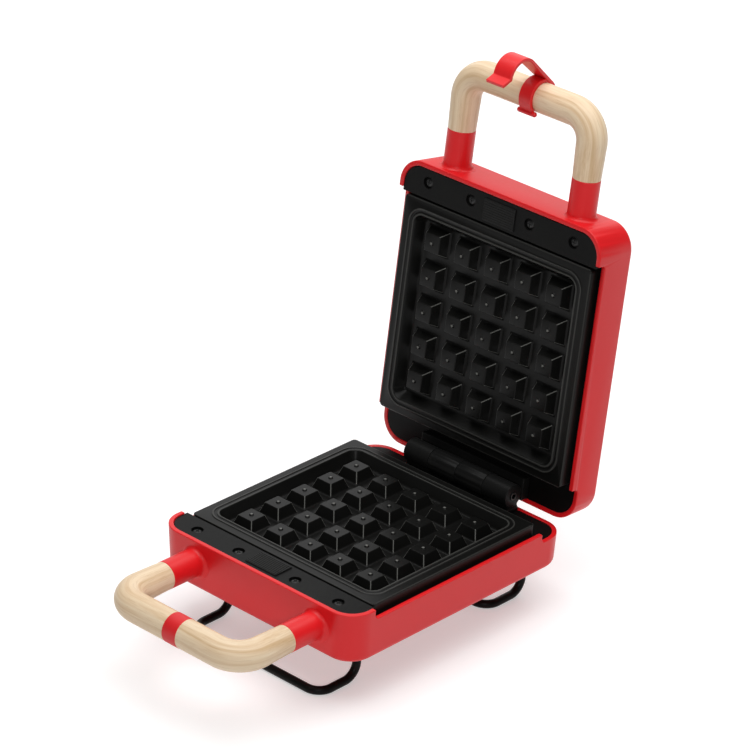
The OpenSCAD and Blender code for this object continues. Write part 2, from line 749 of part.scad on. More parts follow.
placed() color(STEEL) on_lid() handle_bolts();  // lid_handle_bolts
placed() color(PLASTIC) on_lid() hinge_lid_bracket();
placed() color(STEEL) on_lid() hinge_screws();  // hinge_lid_screws
placed() color("red") on_lid() lamp(-lamp_x);  // power_lamp
placed() color("limegreen") on_lid() lamp(lamp_x);  // ready_lamp
placed() color(PAINT) latch_clip();
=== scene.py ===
# %% [markdown]
# # Dressing a waffle maker
# The solids of the machine are already made and packed: casings, plates, hinge, legs and everything
# inside them. This lesson builds the looks around them. Each new piece is drawn in the frame of the lower
# half, where the two halves meet at z = 0 and the middle of the stud grid is at x = 0, y = 0. The lid is
# the same half, turned over.

import json
from math import cos, pi, radians, sin

import bmesh
import bpy
from mathutils import Matrix, Vector

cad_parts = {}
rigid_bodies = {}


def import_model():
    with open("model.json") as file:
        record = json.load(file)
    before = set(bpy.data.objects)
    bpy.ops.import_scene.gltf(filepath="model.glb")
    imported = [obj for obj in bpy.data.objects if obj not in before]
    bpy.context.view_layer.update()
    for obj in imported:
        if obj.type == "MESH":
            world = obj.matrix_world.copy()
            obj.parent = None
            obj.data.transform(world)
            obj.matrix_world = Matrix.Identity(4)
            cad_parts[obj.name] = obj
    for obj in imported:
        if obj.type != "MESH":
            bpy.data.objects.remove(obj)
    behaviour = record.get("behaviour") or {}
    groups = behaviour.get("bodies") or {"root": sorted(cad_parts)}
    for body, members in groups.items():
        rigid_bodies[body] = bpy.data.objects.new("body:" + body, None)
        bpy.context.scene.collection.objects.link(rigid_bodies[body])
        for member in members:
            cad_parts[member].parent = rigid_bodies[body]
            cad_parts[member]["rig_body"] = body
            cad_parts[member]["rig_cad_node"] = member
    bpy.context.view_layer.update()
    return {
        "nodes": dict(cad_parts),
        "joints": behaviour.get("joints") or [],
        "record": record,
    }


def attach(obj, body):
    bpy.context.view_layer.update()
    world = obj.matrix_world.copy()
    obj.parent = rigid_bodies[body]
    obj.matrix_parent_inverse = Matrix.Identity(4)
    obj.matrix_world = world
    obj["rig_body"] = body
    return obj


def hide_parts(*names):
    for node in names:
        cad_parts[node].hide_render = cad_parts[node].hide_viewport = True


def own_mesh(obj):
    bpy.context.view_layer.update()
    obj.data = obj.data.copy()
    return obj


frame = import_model()
nodes = frame["nodes"]
slot_of_node = {part["node"]: part["material_slot"] for part in frame["record"]["subparts"]}

# %% [markdown]
# The hinge joint says where the lid turns and how far it is open. From it come the two matrices that
# carry a piece from the drawing frame to its place: one moves it to the base, the other mirrors it and
# swings it up to the lid.

# %% Places of the two halves
mm = 0.001
HINGE_BACK = 82 * mm
HINGE_DROP = 1.3 * mm
hinge_joint = next(joint for joint in frame["joints"] if joint["name"] == "lid_hinge")
hinge_point = Vector(hinge_joint["pos_m"])
open_angle = radians(-hinge_joint["range_deg"][0])
to_hinge = Matrix.Translation((0, -HINGE_BACK, HINGE_DROP))
BASE = Matrix.Translation(hinge_point) @ to_hinge
swing = Matrix.Rotation(-open_angle, 4, "X")
LID = Matrix.Translation(hinge_point) @ swing @ to_hinge @ Matrix.Scale(-1, 4, (0, 0, 1))
print("lid open by", round(open_angle * 180 / pi, 2), "degrees")

# %% [markdown]
# A photograph of this kind is taken with a long lens from a couple of metres away. The angles below are
# those of the photograph; the slight roll matches how the picture was levelled.

# %% Camera
LENS, SENSOR = 185.2, 36
DISTANCE = 2.1168
AZIMUTH, ELEVATION, ROLL = radians(42.354), radians(26.817), radians(2.327)
AIM = BASE @ (Vector((0.50, 4.40, 87.85)) * mm)


def camera_at(aim):
    back = Vector((sin(AZIMUTH) * cos(ELEVATION), -cos(AZIMUTH) * cos(ELEVATION), sin(ELEVATION)))
    level = Vector((cos(AZIMUTH), sin(AZIMUTH), 0))
    above = back.cross(level)
    right = cos(ROLL) * level + sin(ROLL) * above
    up = cos(ROLL) * above - sin(ROLL) * level
    data = bpy.data.cameras.new("camera")
    data.lens = LENS
    data.sensor_width = SENSOR
    data.clip_start, data.clip_end = 0.05, 50
    camera = bpy.data.objects.new("camera", data)
    bpy.context.scene.collection.objects.link(camera)
    facing = Matrix((right, up, back)).transposed().to_4x4()
    camera.matrix_world = Matrix.Translation(aim + back * DISTANCE) @ facing
    bpy.context.scene.camera = camera


camera_at(AIM)

# %% [markdown]
# ## Small tools
# Operators act on whatever is selected, so each tool starts by selecting only its own piece. Faces and
# edges are picked in code, by their place or the way they face, as a hand would click them.

# %% Picking and editing


def pick(piece):
    bpy.ops.object.select_all(action="DESELECT")
    piece.select_set(True)
    bpy.context.view_layer.objects.active = piece
    return piece


def choose(kind, test):
    """In edit mode, selects only the vertices, edges or faces that pass the test."""
    bpy.ops.mesh.select_mode(type=kind)
    bpy.ops.mesh.select_all(action="DESELECT")
    mesh = bmesh.from_edit_mesh(bpy.context.object.data)
    parts = {"VERT": mesh.verts, "EDGE": mesh.edges, "FACE": mesh.faces}[kind]
    for part in parts:
        part.select = test(part)
    mesh.select_flush_mode()
    bmesh.update_edit_mesh(bpy.context.object.data)


def editing(piece):
    pick(piece)
    bpy.ops.object.mode_set(mode="EDIT")


def done():
    bpy.ops.object.mode_set(mode="OBJECT")


def box_between(name, low, high):
    """A box by two corners, with its size and place in its mesh."""
    low, high = Vector(low), Vector(high)
    bpy.ops.mesh.primitive_cube_add(size=1, location=(low + high) / 2)
    piece = bpy.context.object
    piece.name = name
    piece.scale = high - low
    bpy.ops.object.transform_apply(location=True, rotation=True, scale=True)
    return piece


def finish_with(piece, kind, **settings):
    """Adds a modifier with these settings and applies it."""
    pick(piece)
    modifier = piece.modifiers.new(kind.lower(), kind)
    for key, value in settings.items():
        setattr(modifier, key, value)
    bpy.ops.object.modifier_apply(modifier=modifier.name)
    return piece


def soften(piece, width, segments=3, angle=40):
    """Rounds every edge sharper than the angle, then shades the piece smooth between flat faces."""
    finish_with(piece, "BEVEL", width=width, segments=segments, limit_method="ANGLE",
                angle_limit=radians(angle), use_clamp_overlap=True, miter_outer="MITER_ARC")
    return smooth(piece, angle)


def smooth(piece, angle=40):
    pick(piece)
    bpy.ops.object.shade_smooth_by_angle(angle=radians(angle))
    finish_with(piece, "WEIGHTED_NORMAL", keep_sharp=True, weight=60)
    return piece


def cut(piece, cutter):
    finish_with(piece, "BOOLEAN", operation="DIFFERENCE", object=cutter, solver="EXACT")
    bpy.data.objects.remove(cutter)
    return piece


def bore(piece, name_of_hole, centre, radius, depth, turn=(0, 0, 0)):
    """Drills a round hole, centred here, through the piece."""
    bpy.ops.mesh.primitive_cylinder_add(radius=radius, depth=depth, vertices=40,
                                        location=centre, rotation=turn)
    drill = bpy.context.object
    drill.name = name_of_hole
    return cut(piece, drill)


def join(pieces, name):
    bpy.ops.object.select_all(action="DESELECT")
    for piece in pieces:
        piece.select_set(True)
    bpy.context.view_layer.objects.active = pieces[0]
    bpy.ops.object.join()
    pieces[0].name = name
    return pieces[0]


# %% [markdown]
# Three ways of making a skin cover most of the machine. A turned piece is a profile spun about an axis. A
# lofted piece runs through a stack of round-cornered outlines. A tube follows a path whose corners are
# rounded.

# %% Turned, lofted and tubular skins


def mesh_object(name, points, edges=(), faces=()):
    mesh = bpy.data.meshes.new(name)
    mesh.from_pydata(points, edges, faces)
    piece = bpy.data.objects.new(name, mesh)
    bpy.context.scene.collection.objects.link(piece)
    return piece


def turned(name, profile, start, axis="Y", sides=64):
    """Spins (along, radius) pairs about an axis through start."""
    along = {"X": Vector((1, 0, 0)), "Y": Vector((0, 1, 0)), "Z": Vector((0, 0, 1))}[axis]
    out = Vector((0, 0, 1)) if axis != "Z" else Vector((1, 0, 0))
    start = Vector(start)
    points = [start + along * a + out * r for a, r in profile]
    piece = mesh_object(name, points, [(i, i + 1) for i in range(len(points) - 1)])
    editing(piece)
    bpy.ops.mesh.select_all(action="SELECT")
    bpy.ops.mesh.spin(steps=sides, angle=2 * pi, center=start, axis=along)
    bpy.ops.mesh.select_all(action="SELECT")
    bpy.ops.mesh.remove_doubles(threshold=1e-6)
    bpy.ops.mesh.normals_make_consistent(inside=False)
    done()
    return piece


def outline(half_w, front, rear, radius, z, steps):
    """Points of a round-cornered rectangle, one corner after another."""
    corners = [(half_w - radius, rear - radius, 0), (radius - half_w, rear - radius, 90),
               (radius - half_w, front + radius, 180), (half_w - radius, front + radius, 270)]
    return [Vector((x + radius * cos(a), y + radius * sin(a), z))
            for x, y, turn in corners
            for a in [radians(turn + 90 * i / steps) for i in range(steps + 1)]]


def lofted(name, loops, steps):
    """A closed skin through a stack of (half width, front, rear, corner radius, height) outlines."""
    rings = [outline(*loop, steps) for loop in loops]
    count = len(rings[0])
    last = (len(rings) - 1) * count
    faces = [(low + i, low + (i + 1) % count, low + count + (i + 1) % count, low + count + i)
             for low in range(0, last, count) for i in range(count)]
    caps = [tuple(reversed(range(count))), tuple(last + i for i in range(count))]
    piece = mesh_object(name, [p for ring in rings for p in ring], (), faces + caps)
    editing(piece)
    bpy.ops.mesh.select_all(action="SELECT")
    bpy.ops.mesh.remove_doubles(threshold=1e-7)
    bpy.ops.mesh.normals_make_consistent(inside=False)
    done()
    return piece


def rounded_path(corners, bend, steps):
    """The corners as a path, each inner one replaced by an arc of the bend radius."""
    corners = [Vector(c) for c in corners]
    path = [corners[0]]
    for before, corner, after in zip(corners, corners[1:], corners[2:]):
        a, b = (before - corner).normalized(), (after - corner).normalized()
        half = a.angle(b) / 2
        reach = bend / sin(half) * cos(half)
        centre = corner + (a + b).normalized() * bend / sin(half)
        first, last = corner + a * reach - centre, corner + b * reach - centre
        turn = first.angle(last)
        path += [centre + (first * sin(turn * (1 - t)) + last * sin(turn * t)) / sin(turn)
                 for t in [i / steps for i in range(steps + 1)]]
    return path + [corners[-1]]


def tube(name, path, radius, resolution, girth=None):
    """A round tube along the path, with closed ends; girth gives its share of the radius at a place."""
    curve = bpy.data.curves.new(name, "CURVE")
    curve.dimensions = "3D"
    curve.bevel_depth, curve.bevel_resolution, curve.use_fill_caps = radius, resolution, True
    line = curve.splines.new("POLY")
    line.points.add(len(path) - 1)
    for point, place in zip(line.points, path):
        point.co = (*place, 1)
        point.radius = girth(place) if girth else 1
    piece = bpy.data.objects.new(name, curve)
    bpy.context.scene.collection.objects.link(piece)
    pick(piece)
    bpy.ops.object.convert(target="MESH")
    return bpy.context.object


# %% [markdown]
# ## Finishes
# Each finish is a small graph of noise and ramps read in Object coordinates, so that a pattern stays
# fixed to its piece. The class below lets the sums be written as plain expressions instead of as boxes
# and wires.

# %% Shader sums as expressions


class Wire:
    """A socket's output that can stand in a sum."""

    def __init__(self, finish, socket):
        self.finish, self.socket = finish, socket

    def sum(self, operation, a, b):
        return self.finish.node("ShaderNodeMath", {"operation": operation}, {0: a, 1: b})

    def __add__(self, other):
        return self.sum("ADD", self, other)

    def __sub__(self, other):
        return self.sum("SUBTRACT", self, other)

    def __rsub__(self, other):
        return self.sum("SUBTRACT", other, self)

    def __mul__(self, other):
        return self.sum("MULTIPLY", self, other)

    __radd__ = __add__
    __rmul__ = __mul__


class Finish:
    """One material: a Principled shader and the nodes that feed it."""

    def __init__(self, name, **plain):
        self.material = bpy.data.materials.new(name)
        self.material.use_nodes = True
        self.tree = self.material.node_tree
        self.shader = self.tree.nodes["Principled BSDF"]
        self.feed(**plain)
        self.place = self.node("ShaderNodeTexCoord", out="Object")

    def node(self, kind, settings=None, values=None, out=0):
        made = self.tree.nodes.new(kind)
        for key, value in (settings or {}).items():
            if key == "stops":
                self.set_stops(made.color_ramp, value)
            else:
                setattr(made, key, value)
        for key, value in (values or {}).items():
            self.join(value, made.inputs[key])
        return Wire(self, made.outputs[out])

    def set_stops(self, ramp, stops):
        while len(ramp.elements) < len(stops):
            ramp.elements.new(0.5)
        for element, (place, colour) in zip(ramp.elements, stops):
            element.position, element.color = place, (*colour, 1)

    def join(self, value, socket):
        if isinstance(value, Wire):
            self.tree.links.new(value.socket, socket)
        else:
            socket.default_value = value

    def feed(self, **sockets):
        for name, value in sockets.items():
            self.join(value, self.shader.inputs[name.replace("_", " ")])

    def noise(self, scale, detail=3, place=None, rough=0.5, wavy=0.0):
        values = {"Vector": place or self.place, "Scale": scale, "Detail": detail,
                  "Roughness": rough, "Distortion": wavy}
        return self.node("ShaderNodeTexNoise", None, values)

    def stretched(self, scale, turn=(0, 0, 0)):
        return self.node("ShaderNodeMapping", None, {"Vector": self.place, "Scale": scale, "Rotation": turn})

    def ramp(self, value, *stops):
        return self.node("ShaderNodeValToRGB", {"stops": stops}, {"Fac": value})

    def mix(self, share, a, b):
        return self.node("ShaderNodeMix", {"data_type": "RGBA"}, {0: share, 6: a, 7: b}, out=2)

    def bump(self, height, strength, distance):
        values = {"Strength": strength, "Distance": distance, "Height": height}
        self.feed(Normal=self.node("ShaderNodeBump", None, values))


def rgb(red, green, blue):
    """A screen colour of 0 to 255 as the light it stands for."""
    return [((c / 255 + 0.055) / 1.055) ** 2.4 if c > 10 else c / 255 / 12.92 for c in (red, green, blue)]


# %% [markdown]
# The casings are baked enamel: a saturated red with a soft gloss, a very fine orange peel and hardly any
# change of colour. The clip and the band are moulded in a slightly deeper red, so they get their own
# smoother finish.

# %% Reds


def red_paint():
    paint = Finish("red_enamel", IOR=1.42)
    cloud = paint.noise(14, 2)
    colour = paint.ramp(cloud, (0.3, rgb(222, 22, 28)), (0.7, rgb(228, 26, 32)))
    paint.feed(Base_Color=colour, Roughness=paint.noise(420, 2) * 0.07 + 0.36)
    paint.bump(paint.noise(1500, 2), 0.08, 0.00005)
    return paint.material


def red_moulding(name, shade, roughness):
    resin = Finish(name, IOR=1.46)
    cloud = resin.noise(35, 2)
    paler = [min(255, c + 7) for c in shade]
    resin.feed(Base_Color=resin.ramp(cloud, (0.3, rgb(*shade)), (0.75, rgb(*paler))),
               Roughness=resin.noise(900, 2) * 0.1 + roughness)
    resin.bump(resin.noise(2600, 2), 0.08, 0.00003)
    return resin.material


# %% [markdown]
# The black pieces differ mainly in their grain: spark-eroded plastic is matte with a fine sandy texture,
# the plates' coating is smoother with faint flecks, powder coat on the hinge and legs has a soft leathery
# bump. The plates' finish also reads a painted highlight on each face and pales towards light grey with
# it: thin bright lines painted on upright edges, bead crests and dome tops, where a lamp would glint.

# %% Blacks


def black_moulding(name, grey, roughness, grain):
    plastic = Finish(name, IOR=1.19)
    plastic.feed(Base_Color=plastic.ramp(plastic.noise(60, 3), (0.3, rgb(grey, grey, grey)),
                                         (0.75, rgb(grey + 5, grey + 5, grey + 4))),
                 Roughness=plastic.noise(800, 2) * 0.12 + roughness)
    plastic.bump(plastic.noise(3200, 3), grain, 0.00005)
    return plastic.material


def non_stick():
    coat = Finish("non_stick_coating", IOR=1.23)
    fleck = coat.noise(2400, 4, rough=0.7)
    cloud = coat.noise(30, 3)
    base = coat.ramp(cloud, (0.3, rgb(15, 15, 14)), (0.75, rgb(20, 20, 19)))
    specks = coat.ramp(fleck, (0.64, (0, 0, 0)), (0.74, (1, 1, 1))) * 0.3
    flecked = coat.mix(specks, base, (*rgb(44, 44, 42), 1))
    # Painted highlight: a face attribute pales the coating towards light grey on edges, crests and dome tops.
    rubbed = coat.node("ShaderNodeAttribute", {"attribute_name": "rubbed"}, out="Fac")
    coat.feed(Base_Color=coat.mix(rubbed, flecked, (*rgb(112, 112, 108), 1)), Roughness=cloud * 0.1 + 0.27)
    coat.bump(fleck, 0.1, 0.00004)
    return coat.material


# %% [markdown]
# The grips are pale hardwood under a clear varnish, steamed and bent, so the grain goes round the bends
# with the bar. Object coordinates can't turn a corner, so each grip will carry an attribute that says how
# far along the bar a point lies, and how far to its side. The noise is drawn out along the first of them:
# wavy streaks and fine dark pores.

# %% Wood


def pale_wood():
    wood = Finish("maple_grip", IOR=1.44, Coat_Weight=0.1, Coat_Roughness=0.3)
    wood.place = wood.node("ShaderNodeAttribute", {"attribute_name": "grain"}, out="Vector")
    drift = wood.noise(1, 3, wood.stretched((14, 60, 70), (0.1, 0.2, 0.1)))
    streaks = wood.noise(1, 5, wood.stretched((15, 260, 230), (0, 0.03, 0.06)), 0.62, 0.8)
    pores = wood.noise(1, 3, wood.stretched((90, 1700, 1700), (0, 0, 0.05)), 0.7)
    tone = wood.ramp(streaks * 0.72 + drift * 0.28, (0.36, rgb(214, 182, 142)), (0.46, rgb(227, 199, 163)),
                     (0.56, rgb(237, 214, 182)), (0.68, rgb(241, 221, 192)))
    darker = wood.ramp(pores, (0.34, (1, 1, 1)), (0.46, (0, 0, 0))) * 0.3
    wood.feed(Base_Color=wood.mix(darker, tone, (*rgb(190, 152, 108), 1)), Roughness=drift * 0.12 + 0.4)
    wood.bump(pores, 0.12, 0.00008)
    return wood.material


# %% [markdown]
# Inside are zinc-plated screws, bright sheet, an oxidised heater sheath and unglazed ceramic. They are
# hardly seen, but a lifted plate shows them, so they are finished too.

# %% Metals and ceramic


def metal(name, shade, roughness, streak=(40, 400, 400)):
    steel = Finish(name, Metallic=1.0)
    brushed = steel.noise(4, 4, steel.stretched(streak), 0.6)
    steel.feed(Base_Color=steel.ramp(brushed, (0.25, [c * 0.85 for c in rgb(*shade)]), (0.8, rgb(*shade))),
               Roughness=brushed * 0.18 + roughness)
    steel.bump(brushed, 0.08, 0.00004)
    return steel.material


def ceramic():
    clay = Finish("ceramic", IOR=1.5)
    specks = clay.noise(700, 3, rough=0.7)
    clay.feed(Base_Color=clay.ramp(specks, (0.3, rgb(214, 207, 190)), (0.7, rgb(232, 227, 214))),
              Roughness=specks * 0.1 + 0.6)
    clay.bump(specks, 0.2, 0.0001)
    return clay.material


def lens(name, shade):
    resin = Finish(name, IOR=1.49, Coat_Weight=0.5, Coat_Roughness=0.08)
    cloud = resin.noise(300, 2)
    resin.feed(Base_Color=resin.ramp(cloud, (0.2, [c * 0.8 for c in rgb(*shade)]), (0.8, rgb(*shade))),
               Roughness=cloud * 0.05 + 0.14)
    return resin.material


FINISHES = {
    "red_paint": red_paint(),
    "black_plastic": black_moulding("matte_moulding", 12, 0.4, 0.16),
    "button_plastic": black_moulding("button_moulding", 30, 0.4, 0.08),
    "non_stick_coating": non_stick(),
    "pale_wood": pale_wood(),
    "red_band": red_moulding("red_band_rubber", (214, 22, 28), 0.45),
    "red_clip": red_moulding("red_clip_resin", (220, 26, 30), 0.34),
    "hinge_black": black_moulding("hinge_powder_coat", 22, 0.3, 0.12),
    "black_wire": black_moulding("leg_powder_coat", 18, 0.26, 0.08),
    "dark_steel": metal("blackened_steel", (58, 58, 58), 0.28),
    "bright_steel": metal("zinc_plate", (205, 205, 202), 0.26),
    "bright_sheet": metal("bright_sheet", (222, 222, 222), 0.2, (12, 300, 300)),
    "heater_sheath": metal("heater_sheath", (120, 112, 104), 0.42),
    "ceramic": ceramic(),
    "gland_rubber": black_moulding("gland_rubber", 32, 0.6, 0.2),
    "red_lens": lens("red_lens", (214, 40, 30)),
    "green_lens": lens("green_lens", (70, 190, 80)),
}
print("finishes:", len(FINISHES))

# %% [markdown]
# A finished piece is dressed, placed in one of the halves and set to ride on its body. For the lid, the
# placing matrix mirrors the piece, which turns its faces inside out, so they are flipped back.

# %% Placing pieces


def dress(piece, slot_name):
    piece.data.materials.clear()
    piece.data.materials.append(FINISHES[slot_name])


def settle(piece, name, half, body, slot_name, node):
    """Moves a piece from the drawing frame to its half and lets it stand for its CAD node."""
    piece.name = name
    piece.data.name = name
    piece.data.transform(half)
    if half is LID:
        piece.data.flip_normals()
    dress(piece, slot_name)
    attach(piece, body)
    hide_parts(node)


def twin(piece):
    """A copy with its own mesh."""
    copy = piece.copy()
    copy.data = piece.data.copy()
    bpy.context.scene.collection.objects.link(copy)
    return copy


def settle_both(piece, name, slot_name, node, bodies=("base", "lid")):
    """Places one drawn piece in the base and its twin in the lid."""
    other = twin(piece)
    for half, side, body, made in ((BASE, "base", bodies[0], piece), (LID, "lid", bodies[1], other)):
        settle(made, side + "_" + name, half, body, slot_name, side + "_" + node)


# %% [markdown]
# ## Casings
# Each casing is a pressed and enamelled shell. It starts as a box whose bottom is drawn in a little, its
# upright corners are bevelled round and its bottom edge softened, and the top is opened. Two blocks cut
# the rims down where the hinge needs room. The last bevel gives the rim the thin bright line that paint
# leaves on an edge.

# %% Casing shell
CASE_W, CASE_FRONT, CASE_REAR, CASE_DEPTH = 75 * mm, 87.3 * mm, 90.1 * mm, 31 * mm
CASE_CORNER, CASE_EDGE, CASE_DRAFT = 15.2 * mm, 3.5 * mm, 1.2 * mm
RIM_GAP, WALL = 0.3 * mm, 2.9 * mm
STEP_FRONT, STEP_REAR, STEP_ROUND = 68.5 * mm, 67.5 * mm, 2.5 * mm
SIDE_DROP, REAR_DROP = 6.2 * mm, 11.6 * mm
HINGE_SCREW_X, HINGE_SCREW_Y, HINGE_SCREW_R = (-31 * mm, -10 * mm, 10 * mm, 31 * mm), 80 * mm, 3.9 * mm
RIM_EASE, HOLE_DEPTH = 0.55 * mm, 8 * mm


def rim_cutter(front, drop):
    """Block that lowers the rim behind a line; its lower front edge is round, so the step is filleted."""
    block = box_between("cutter", (-0.1, front, -drop), (0.1, 0.2, 0.05))
    editing(block)
    choose("EDGE", lambda e: all(abs(v.co.y - front) < 1e-5 and abs(v.co.z + drop) < 1e-5 for v in e.verts))
    bpy.ops.mesh.bevel(offset=STEP_ROUND, segments=6)
    done()
    return block


def casing_shell():
    shell = box_between("casing_shell", (-CASE_W, -CASE_FRONT, -CASE_DEPTH), (CASE_W, CASE_REAR, -RIM_GAP))
    half_depth = (CASE_FRONT + CASE_REAR) / 2
    editing(shell)
    choose("FACE", lambda f: f.normal.z < -0.9)
    bpy.ops.transform.resize(value=(1 - CASE_DRAFT / CASE_W, 1 - CASE_DRAFT / half_depth, 1))
    choose("EDGE", lambda e: abs(e.verts[0].co.z - e.verts[1].co.z) > CASE_DEPTH / 2)
    bpy.ops.mesh.bevel(offset=CASE_CORNER, segments=16)
    choose("EDGE", lambda e: any(f.normal.z < -0.9 for f in e.link_faces))
    bpy.ops.mesh.bevel(offset=CASE_EDGE, segments=6)
    choose("FACE", lambda f: f.normal.z > 0.9)
    bpy.ops.mesh.delete(type="ONLY_FACE")
    done()
    finish_with(shell, "SOLIDIFY", thickness=WALL, offset=-1, use_even_offset=True)
    cut(shell, rim_cutter(-STEP_FRONT, SIDE_DROP))
    cut(shell, rim_cutter(STEP_REAR, REAR_DROP))
    soften(shell, RIM_EASE, 3)
    for x in HINGE_SCREW_X:
        bore(shell, "screw_hole", (x, HINGE_SCREW_Y, -CASE_DEPTH), HINGE_SCREW_R, HOLE_DEPTH)
    return shell


# %% [markdown]
# The handle sleeves are pressed out of the same shell. Each is a turned piece that flares into the front
# wall, with a small step at its end where the wood begins.

# %% Handle sleeves
BAR_X, ARM_X, BAR_DROP, SLEEVE_R, SLEEVE_END = 1.1 * mm, 46.3 * mm, 13.5 * mm, 8.15 * mm, 109.7 * mm
SLEEVE_FILLET, SLEEVE_BORE, SLEEVE_STEP = 2.8 * mm, 2.6 * mm, 0.35 * mm


def sleeve(x):
    wall_y = -CASE_FRONT + RIM_EASE
    flare = [(wall_y - SLEEVE_FILLET * (1 - sin(a)), SLEEVE_R + SLEEVE_FILLET * (1 - cos(a)))
             for a in [radians(90 * i / 8) for i in range(8, -1, -1)]]
    end = [(SLEEVE_STEP - SLEEVE_END, SLEEVE_R), (-SLEEVE_END, SLEEVE_R - SLEEVE_STEP),
           (-SLEEVE_END, SLEEVE_BORE), (wall_y + 2 * mm, SLEEVE_BORE)]
    start = [(wall_y + 2 * mm, SLEEVE_R + SLEEVE_FILLET)]
    return smooth(turned("sleeve", start + flare + end + start, (x, 0, -BAR_DROP)))


# %% [markdown]
# The two shells differ in small holes. The base has a raised ring round the opening for the mains lead,
# and the lid has two holes for its lamps. The shell is drilled after its twin is made.

# %% Base and lid casings
GLAND_SEAT, GLAND_Z, GLAND_R = 89.6 * mm, -21 * mm, 4.6 * mm
LAMP_X, LAMP_Y, LAMP_R = 9 * mm, -62 * mm, 3.05 * mm


def gland_ring():
    wide, ease, depth = 7.35 * mm, 0.4 * mm, 2.6 * mm
    profile = [(-depth, wide), (-ease, wide), (0, wide - ease), (0, GLAND_R),
               (-depth, GLAND_R), (-depth, wide)]
    return smooth(turned("gland_ring", profile, (0, GLAND_SEAT, GLAND_Z)), 60)


base_shell = casing_shell()
lid_shell = twin(base_shell)
bore(base_shell, "gland_hole", (0, GLAND_SEAT, GLAND_Z), GLAND_R, HOLE_DEPTH, (pi / 2, 0, 0))
for x in (-LAMP_X, LAMP_X):
    bore(lid_shell, "lamp_hole", (x, LAMP_Y, -CASE_DEPTH), LAMP_R, HOLE_DEPTH)
arms = (BAR_X - ARM_X, BAR_X + ARM_X)
base_enamel = join([base_shell, gland_ring()] + [sleeve(x) for x in arms], "base_enamel")
lid_enamel = join([lid_shell] + [sleeve(x) for x in arms], "lid_enamel")
settle(smooth(base_enamel), "base_casing_enamel", BASE, "base", "red_paint", "base_casing")
settle(smooth(lid_enamel), "lid_casing_enamel", LID, "lid", "red_paint", "lid_casing")
print("casing vertices:", len(base_enamel.data.vertices), len(lid_enamel.data.vertices))

# %% [markdown]
# ## Plates
# A plate is cast in one go: a flange with a deep skirt, two low beads round the well, and a well whose
# walls slope so that the waffle lets go. All of that is one loft through round-cornered outlines, because
# the corner radius has to grow from the plate's edge to the bead, which an inset can't do.

# %% Plate body
PLATE_W, PLATE_D, PLATE_BACK, PLATE_R = 69.7 * mm, 65.7 * mm, 0.36 * mm, 2.4 * mm
WELL_W, WELL_D, WELL_R = 60.5 * mm, 56.5 * mm, 6 * mm
FLANGE_Z, SKIRT_Z, FLOOR_Z, UNDER_Z = -0.8 * mm, -8.7 * mm, -7.3 * mm, -9.6 * mm


def plate_loop(grow, z, edge_inset=None):
    """One outline: measured from the well's rim, or inwards from the plate's own edge."""
    if edge_inset is not None:
        half_w, half_d, r = PLATE_W - edge_inset, PLATE_D - edge_inset, PLATE_R - min(edge_inset, 1.5 * mm)
    else:
        half_w, half_d, r = WELL_W + grow, WELL_D + grow, WELL_R + max(grow, -4.5 * mm)
    return half_w, PLATE_BACK - half_d, PLATE_BACK + half_d, r, z


def paint_highlight(piece, share_of):
    """Writes how much painted highlight each face carries."""
    highlight = piece.data.attributes.new("rubbed", "FLOAT", "FACE")
    for face, value in zip(piece.data.polygons, highlight.data):
        value.value = share_of(face)
    return piece


def rim_highlight(face):
    """Painted highlight on the crests of the two beads and on the flange's own edge."""
    if face.center.z > FLANGE_Z + 0.42 * mm:
        return 0.22
    on_edge = max(abs(face.center.x) - PLATE_W, abs(face.center.y - PLATE_BACK) - PLATE_D) > -0.6 * mm
    return 0.15 if on_edge and face.center.z > -1.1 * mm else 0.0


def plate_body():
    under = [plate_loop(-2 * mm, UNDER_Z), plate_loop(2.2 * mm, -3.6 * mm),
             plate_loop(0, -3.2 * mm, 2.2 * mm)]
    skirt = [plate_loop(0, SKIRT_Z, 2.2 * mm), plate_loop(0, SKIRT_Z, 0)]
    skirt += [plate_loop(0, z * mm, inset * mm) for z, inset in
              ((-1.5, 0), (-1.05, 0.12), (-0.86, 0.38), (-0.8, 0.8))]
    outer_bead = [plate_loop(g * mm, FLANGE_Z + h * mm) for g, h in
                  ((4.9, 0), (4.55, 0.12), (4.3, 0.38), (3.9, 0.5), (3.5, 0.38), (3.25, 0.1), (3.0, 0))]
    inner_bead = [plate_loop(g * mm, FLANGE_Z + h * mm) for g, h in
                  ((1.9, 0), (1.6, 0.14), (1.35, 0.4), (0.9, 0.52), (0.35, 0.42), (0.0, 0.0))]
    wall = [plate_loop(-g * mm, -z * mm) for g, z in
            ((0.35, 1.6), (2.9, 6.0), (3.35, 6.7), (4.1, 7.15), (5.2, 7.3))]
    body = lofted("plate_body", under + skirt + outer_bead + inner_bead + wall, 10)
    return paint_highlight(smooth(body, 50), rim_highlight)


# %% [markdown]
# One stud is modelled and repeated five by five with two arrays. Its outlines are nearly square, its foot
# spreads in a small fillet, and a low dome stands in the middle of its top. The dome's crest and the upright
# edges carry a painted highlight: they are paled as if a lamp glinted on them.

# %% Studs
STUD_PITCH_X, STUD_PITCH_Y = 22.86 * mm, 21.2 * mm
STUD_TOP, STUD_FOOT, STUD_TOP_Z = 5.6 * mm, 7.6 * mm, -0.9 * mm


